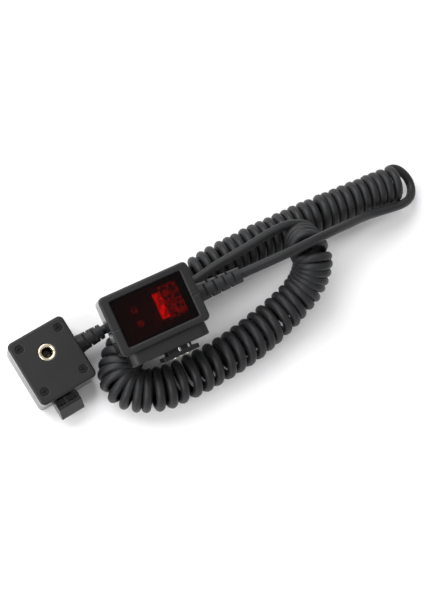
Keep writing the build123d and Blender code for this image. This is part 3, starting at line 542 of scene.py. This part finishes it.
def finish(name, colour, worn, rough, grain, depth, edge=0.0006, even=0.5, dust=0.15,
           lines=0.0, metallic=0.0, specular=0.5, walls=0.0):
    """A finish with moulded grain, rubbed edges, a little dust and, if asked, hairlines.
    Upright walls are smoother than level faces by the amount called walls."""
    material, tree, shader = new_material(
        name, Metallic=metallic, Specular_IOR_Level=specular)
    texture = placed(tree, "moulded_grain", Grains_per_Metre=grain)
    rubbed = placed(tree, "rubbed_edges", Width=edge, Evenness=even)
    settled = placed(tree, "settled_dust", Amount=dust)
    patches = texture.outputs["Patches"]
    tint = ranged(tree, patches, 0.3, 0.7, 1.0 - PATCHINESS, 1.0 + PATCHINESS)
    varied = put(tree, "Mix", data_type="RGBA", blend_type="MULTIPLY")
    varied.inputs[0].default_value = 1.0
    varied.inputs[6].default_value = (*colour, 1.0)
    join(tree, tint, varied.inputs[7])
    shade = blended(tree, rubbed.outputs["Mask"], varied.outputs[2], (*worn, 1.0))
    shade = blended(tree, settled.outputs["Mask"], shade, OLD_DUST)
    join(tree, shade, shader.inputs["Base Color"])
    sheen = ranged(tree, patches, 0.3, 0.7, rough - 0.05, rough + 0.05)
    sheen = maths(tree, "SUBTRACT", sheen, maths(tree, "MULTIPLY", rubbed.outputs["Mask"], 0.12))
    height = texture.outputs["Height"]
    if walls:
        split = put(tree, "SeparateXYZ")
        join(tree, put(tree, "NewGeometry").outputs["Normal"], split.inputs[0])
        tilt = maths(tree, "ABSOLUTE", split.outputs["Z"])
        upright = ranged(tree, tilt, 0.25, 0.8, 1.0, 0.0)
        sheen = maths(tree, "SUBTRACT", sheen, maths(tree, "MULTIPLY", upright, walls))
        grainy = maths(tree, "SUBTRACT", 1.0, maths(tree, "MULTIPLY", upright, 0.8))
        height = maths(tree, "MULTIPLY", height, grainy)
    if lines:
        drawn = placed(tree, "hairlines").outputs["Mask"]
        sheen = maths(tree, "ADD", sheen, maths(tree, "MULTIPLY", drawn, lines))
        height = maths(tree, "SUBTRACT", height, maths(tree, "MULTIPLY", drawn, 0.4))
    join(tree, sheen, shader.inputs["Roughness"])
    bump = put(tree, "Bump", in_Strength=1.0, in_Distance=depth)
    join(tree, height, bump.inputs["Height"])
    join(tree, rubbed.outputs["Soft Normal"], bump.inputs["Normal"])
    join(tree, bump.outputs[0], shader.inputs["Normal"])
    return material


def blend_base(material, factor, colour):
    """Blends a finish's base colour towards another where the factor says."""
    tree = material.node_tree
    socket = tree.nodes["Principled BSDF"].inputs["Base Color"]
    join(tree, blended(tree, factor, socket.links[0].from_socket, colour), socket)


def turned_brass(name, colour, centre, top):
    """Plated brass turned on a lathe: fine rings round the thread's axis, and painted shade that
    darkens its colour down the hole."""
    material = finish(name, colour, (0.85, 0.80, 0.70), 0.20, 1800.0, 0.000004,
                      dust=0.05, lines=0.10, metallic=1.0)
    tree = material.node_tree
    place = object_place(tree)
    mapping = put(tree, "Mapping", in_Location=(-centre[0], -centre[1], 0.0))
    join(tree, place, mapping.inputs["Vector"])
    rings = textured(tree, mapping.outputs[0], "Wave", wave_type="RINGS", rings_direction="Z",
                     in_Scale=900.0, in_Distortion=0.3, in_Detail=1.0)
    split = put(tree, "SeparateXYZ")
    join(tree, place, split.inputs[0])
    # Painted shade: the base colour darkens towards the bottom of the hole, where shade falls.
    painted_hole_shade = ranged(tree, split.outputs["Z"], top - 0.0030, top - 0.0008, 1.0, 0.0)
    blend_base(material, painted_hole_shade, (0.030, 0.026, 0.020, 1.0))
    height = next(node for node in tree.nodes if node.type == "BUMP").inputs["Height"]
    ringed = maths(tree, "MULTIPLY", rings.outputs["Fac"], 0.8)
    join(tree, maths(tree, "ADD", height.links[0].from_socket, ringed), height)
    return material


def tinted_window(colour):
    """Clear tinted window with faint smears and hairlines on its face."""
    material, tree, shader = new_material(
        "window_red", Transmission_Weight=1.0, IOR=1.18, Metallic=0.0,
        Base_Color=(*colour, 1.0))
    drawn = placed(tree, "hairlines", Lines_per_Metre=260.0)
    texture = placed(tree, "moulded_grain", Grains_per_Metre=300.0)
    smears = ranged(tree, texture.outputs["Patches"], 0.45, 0.75, 0.03, 0.10)
    rough = maths(tree, "ADD", smears, maths(tree, "MULTIPLY", drawn.outputs["Mask"], 0.10))
    join(tree, rough, shader.inputs["Roughness"])
    return material


def painted_glint_red(name, dim, bright, fine):
    """Clear red part behind the window with painted glints: it glows though it is no lamp, and both
    its painted glow and its base colour go from dim to bright over a noise of the given fineness."""
    material, tree, shader = new_material(name, Roughness=0.25, Emission_Strength=1.0)
    spots = textured(tree, object_place(tree), "Noise",
                     in_Scale=fine, in_Detail=3.0, in_Roughness=0.6)
    # Painted glints: this noise mask makes the base colour brighter red in spots.
    painted_glint_mask = ranged(tree, spots.outputs[0], 0.42, 0.62, 0.0, 1.0)
    shade = blended(tree, painted_glint_mask, (0.08, 0.004, 0.004, 1.0), (0.45, 0.03, 0.02, 1.0))
    join(tree, shade, shader.inputs["Base Color"])
    # Painted glow: emission stands in for light glinting off the part.
    painted_glow = blended(tree, painted_glint_mask, (dim, dim * 0.02, dim * 0.02, 1.0),
                   (bright, bright * 0.03, bright * 0.02, 1.0))
    join(tree, painted_glow, shader.inputs["Emission Color"])
    return material


def lacquered_board():
    """Circuit board: dark lacquer over paler tracks."""
    material = finish("board_green", (0.010, 0.035, 0.020), (0.05, 0.09, 0.05), 0.35, 900.0,
                      0.00001, dust=0.0)
    tree = material.node_tree
    tracks = textured(tree, object_place(tree), "Brick", in_Scale=260.0, in_Mortar_Size=0.06)
    for name, level in (("Color1", 0.0), ("Color2", 0.0), ("Mortar", 1.0)):
        tracks.inputs[name].default_value = (level, level, level, 1.0)
    blend_base(material, tracks.outputs["Fac"], (0.05, 0.12, 0.05, 1.0))
    return material


class FLASHCORD_OT_finishes(bpy.types.Operator):
    """Makes the finishes and gives one to every piece"""

    bl_idname = "flashcord.finishes"
    bl_label = "Finishes"

    def execute(self, context):
        colours = context.scene.flash_cord_colours
        for build in (grain_group, edge_group, dust_group, scratch_group):
            build()
        low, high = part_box("tripod_insert")
        centre = ((low.x + high.x) / 2, (low.y + high.y) / 2)
        made = {
            "case_plastic": finish(
                "case_plastic", tuple(colours.case), (0.035, 0.035, 0.038), 0.50, 2600.0, 0.000012,
                edge=0.0009, even=0.6, dust=0.010, walls=0.30, specular=0.38),
            "gloss_plastic": finish(
                "gloss_plastic", (0.004, 0.004, 0.005), (0.04, 0.04, 0.042), 0.24, 1500.0, 0.000004,
                edge=0.0004, lines=0.12, dust=0.006, specular=0.32),
            "cord_rubber": finish(
                "cord_rubber", tuple(colours.jacket), (0.03, 0.03, 0.033), 0.50, 3000.0, 0.000006,
                edge=0.0002, even=0.2, dust=0.006, specular=0.30),
            "black_metal": finish(
                "black_metal", (0.005, 0.005, 0.006), (0.06, 0.059, 0.057), 0.5, 1800.0, 0.000004,
                edge=0.0002, even=0.1, lines=0.1, dust=0.01, specular=0.2),
            "steel": finish(
                "steel", (0.26, 0.26, 0.27), (0.50, 0.50, 0.50), 0.34, 1500.0, 0.000005,
                lines=0.15, metallic=1.0, dust=0.05),
            "brass": turned_brass("brass", tuple(colours.brass), centre, high.z),
            "window_red": tinted_window(tuple(colours.window)),
            # Painted glints: the parts behind the window glow though they are no lamps.
            "pattern_bar": painted_glint_red("red_painted_glow_bar", 0.5, 1.6, 320.0),
            "lens_box": painted_glint_red("red_painted_glow_lens", 0.01, 0.22, 330.0),
            "lamp_pair": painted_glint_red("red_painted_glow_pair", 0.01, 0.14, 500.0),
            "board_green": lacquered_board(),
        }
        for part in frame["record"]["subparts"]:
            piece = frame["nodes"][part["node"]]
            piece.data.materials.clear()
            piece.data.materials.append(made.get(part["node"]) or made[part["material_slot"]])
        for name, finish_name in (("curly_cord", "cord_rubber"), ("tripod_thread", "brass")):
            bpy.data.objects[name].data.materials.append(made[finish_name])
        return {"FINISHED"}


# ------------------------------------------------------------------ stage
class FLASHCORD_OT_camera(bpy.types.Operator):
    """Sets up the camera, high over the two modules and turned"""

    bl_idname = "flashcord.camera"
    bl_label = "Camera"

    def execute(self, context):
        data = bpy.data.cameras.new("view")
        data.lens = CAMERA_LENS
        data.sensor_width = 36.0
        data.clip_start = 0.01
        data.clip_end = 20.0
        camera = show("view", data)
        look = Vector(CAMERA_LOOK).normalized()
        right = look.cross(Vector(CAMERA_UP)).normalized()
        up = right.cross(look)
        turn = Matrix((right, up, -look)).transposed().to_4x4()
        camera.matrix_world = Matrix.Translation(CAMERA_PLACE) @ turn
        context.scene.camera = camera
        return {"FINISHED"}


class FLASHCORD_OT_stage(bpy.types.Operator):
    """Lays the pale floor and hangs the soft lights"""

    bl_idname = "flashcord.stage"
    bl_label = "Floor and Lights"

    def execute(self, context):
        stage = context.scene.flash_cord_stage
        side = np.linspace(-FLOOR_HALF, FLOOR_HALF, 9)
        x, y = np.meshgrid(side, side, indexing="xy")
        points = np.stack([x, y, np.zeros_like(x) - FLOOR_DROP], 2)
        floor = show("floor", grid_mesh("floor", points))
        paper, _, _ = new_material("floor_paper", Base_Color=(*stage.floor, 1.0),
                                   Roughness=0.6, Specular_IOR_Level=0.3)
        floor.data.materials.append(paper)
        world = bpy.data.worlds.new("even_light")
        world.use_nodes = True
        background = world.node_tree.nodes["Background"]
        background.inputs["Color"].default_value = (1.0, 1.0, 1.0, 1.0)
        background.inputs["Strength"].default_value = stage.sky
        context.scene.world = world
        for name, place, size, share in LIGHTS:
            data = bpy.data.lights.new(name, "AREA")
            data.shape = "DISK"
            data.size = size
            data.energy = stage.key_power * share
            light = show(name, data)
            aim = Vector(LIGHT_AIM) - Vector(place)
            light.location = place
            light.rotation_euler = aim.to_track_quat("-Z", "Y").to_euler()
        context.scene.view_settings.view_transform = "Standard"
        return {"FINISHED"}


# ------------------------------------------------------------------ panel
class FLASHCORD_PT_panel(bpy.types.Panel):
    """Flash cord tools"""

    bl_idname = "FLASHCORD_PT_panel"
    bl_label = "Flash Cord"
    bl_space_type = "VIEW_3D"
    bl_region_type = "UI"
    bl_category = "Flash Cord"

    def draw(self, context):
        for group in ("flash_cord_sizes", "flash_cord_colours", "flash_cord_stage"):
            owner = getattr(context.scene, group)
            box = self.layout.box()
            for name in owner.__annotations__:
                box.prop(owner, name)
        for step in STEPS:
            self.layout.operator(step.bl_idname)


STEPS = (FLASHCORD_OT_camera, FLASHCORD_OT_cord, FLASHCORD_OT_thread, FLASHCORD_OT_finishes,
         FLASHCORD_OT_stage)
CLASSES = (FlashCordSizes, FlashCordColours, FlashCordStage) + STEPS + (FLASHCORD_PT_panel,)


def register():
    """Registers the classes and hangs the settings on the scene."""
    for cls in CLASSES:
        bpy.utils.register_class(cls)
    bpy.types.Scene.flash_cord_sizes = bpy.props.PointerProperty(type=FlashCordSizes)
    bpy.types.Scene.flash_cord_colours = bpy.props.PointerProperty(type=FlashCordColours)
    bpy.types.Scene.flash_cord_stage = bpy.props.PointerProperty(type=FlashCordStage)


def unregister():
    """Undoes register."""
    for name in ("flash_cord_stage", "flash_cord_colours", "flash_cord_sizes"):
        delattr(bpy.types.Scene, name)
    for cls in reversed(CLASSES):
        bpy.utils.unregister_class(cls)


def main():
    """Builds everything in order."""
    register()
    bpy.ops.flashcord.camera()
    bpy.ops.flashcord.cord()
    bpy.ops.flashcord.thread()
    bpy.ops.flashcord.finishes()
    bpy.ops.flashcord.stage()
    bpy.context.view_layer.update()


if __name__ == "__main__":
    main()
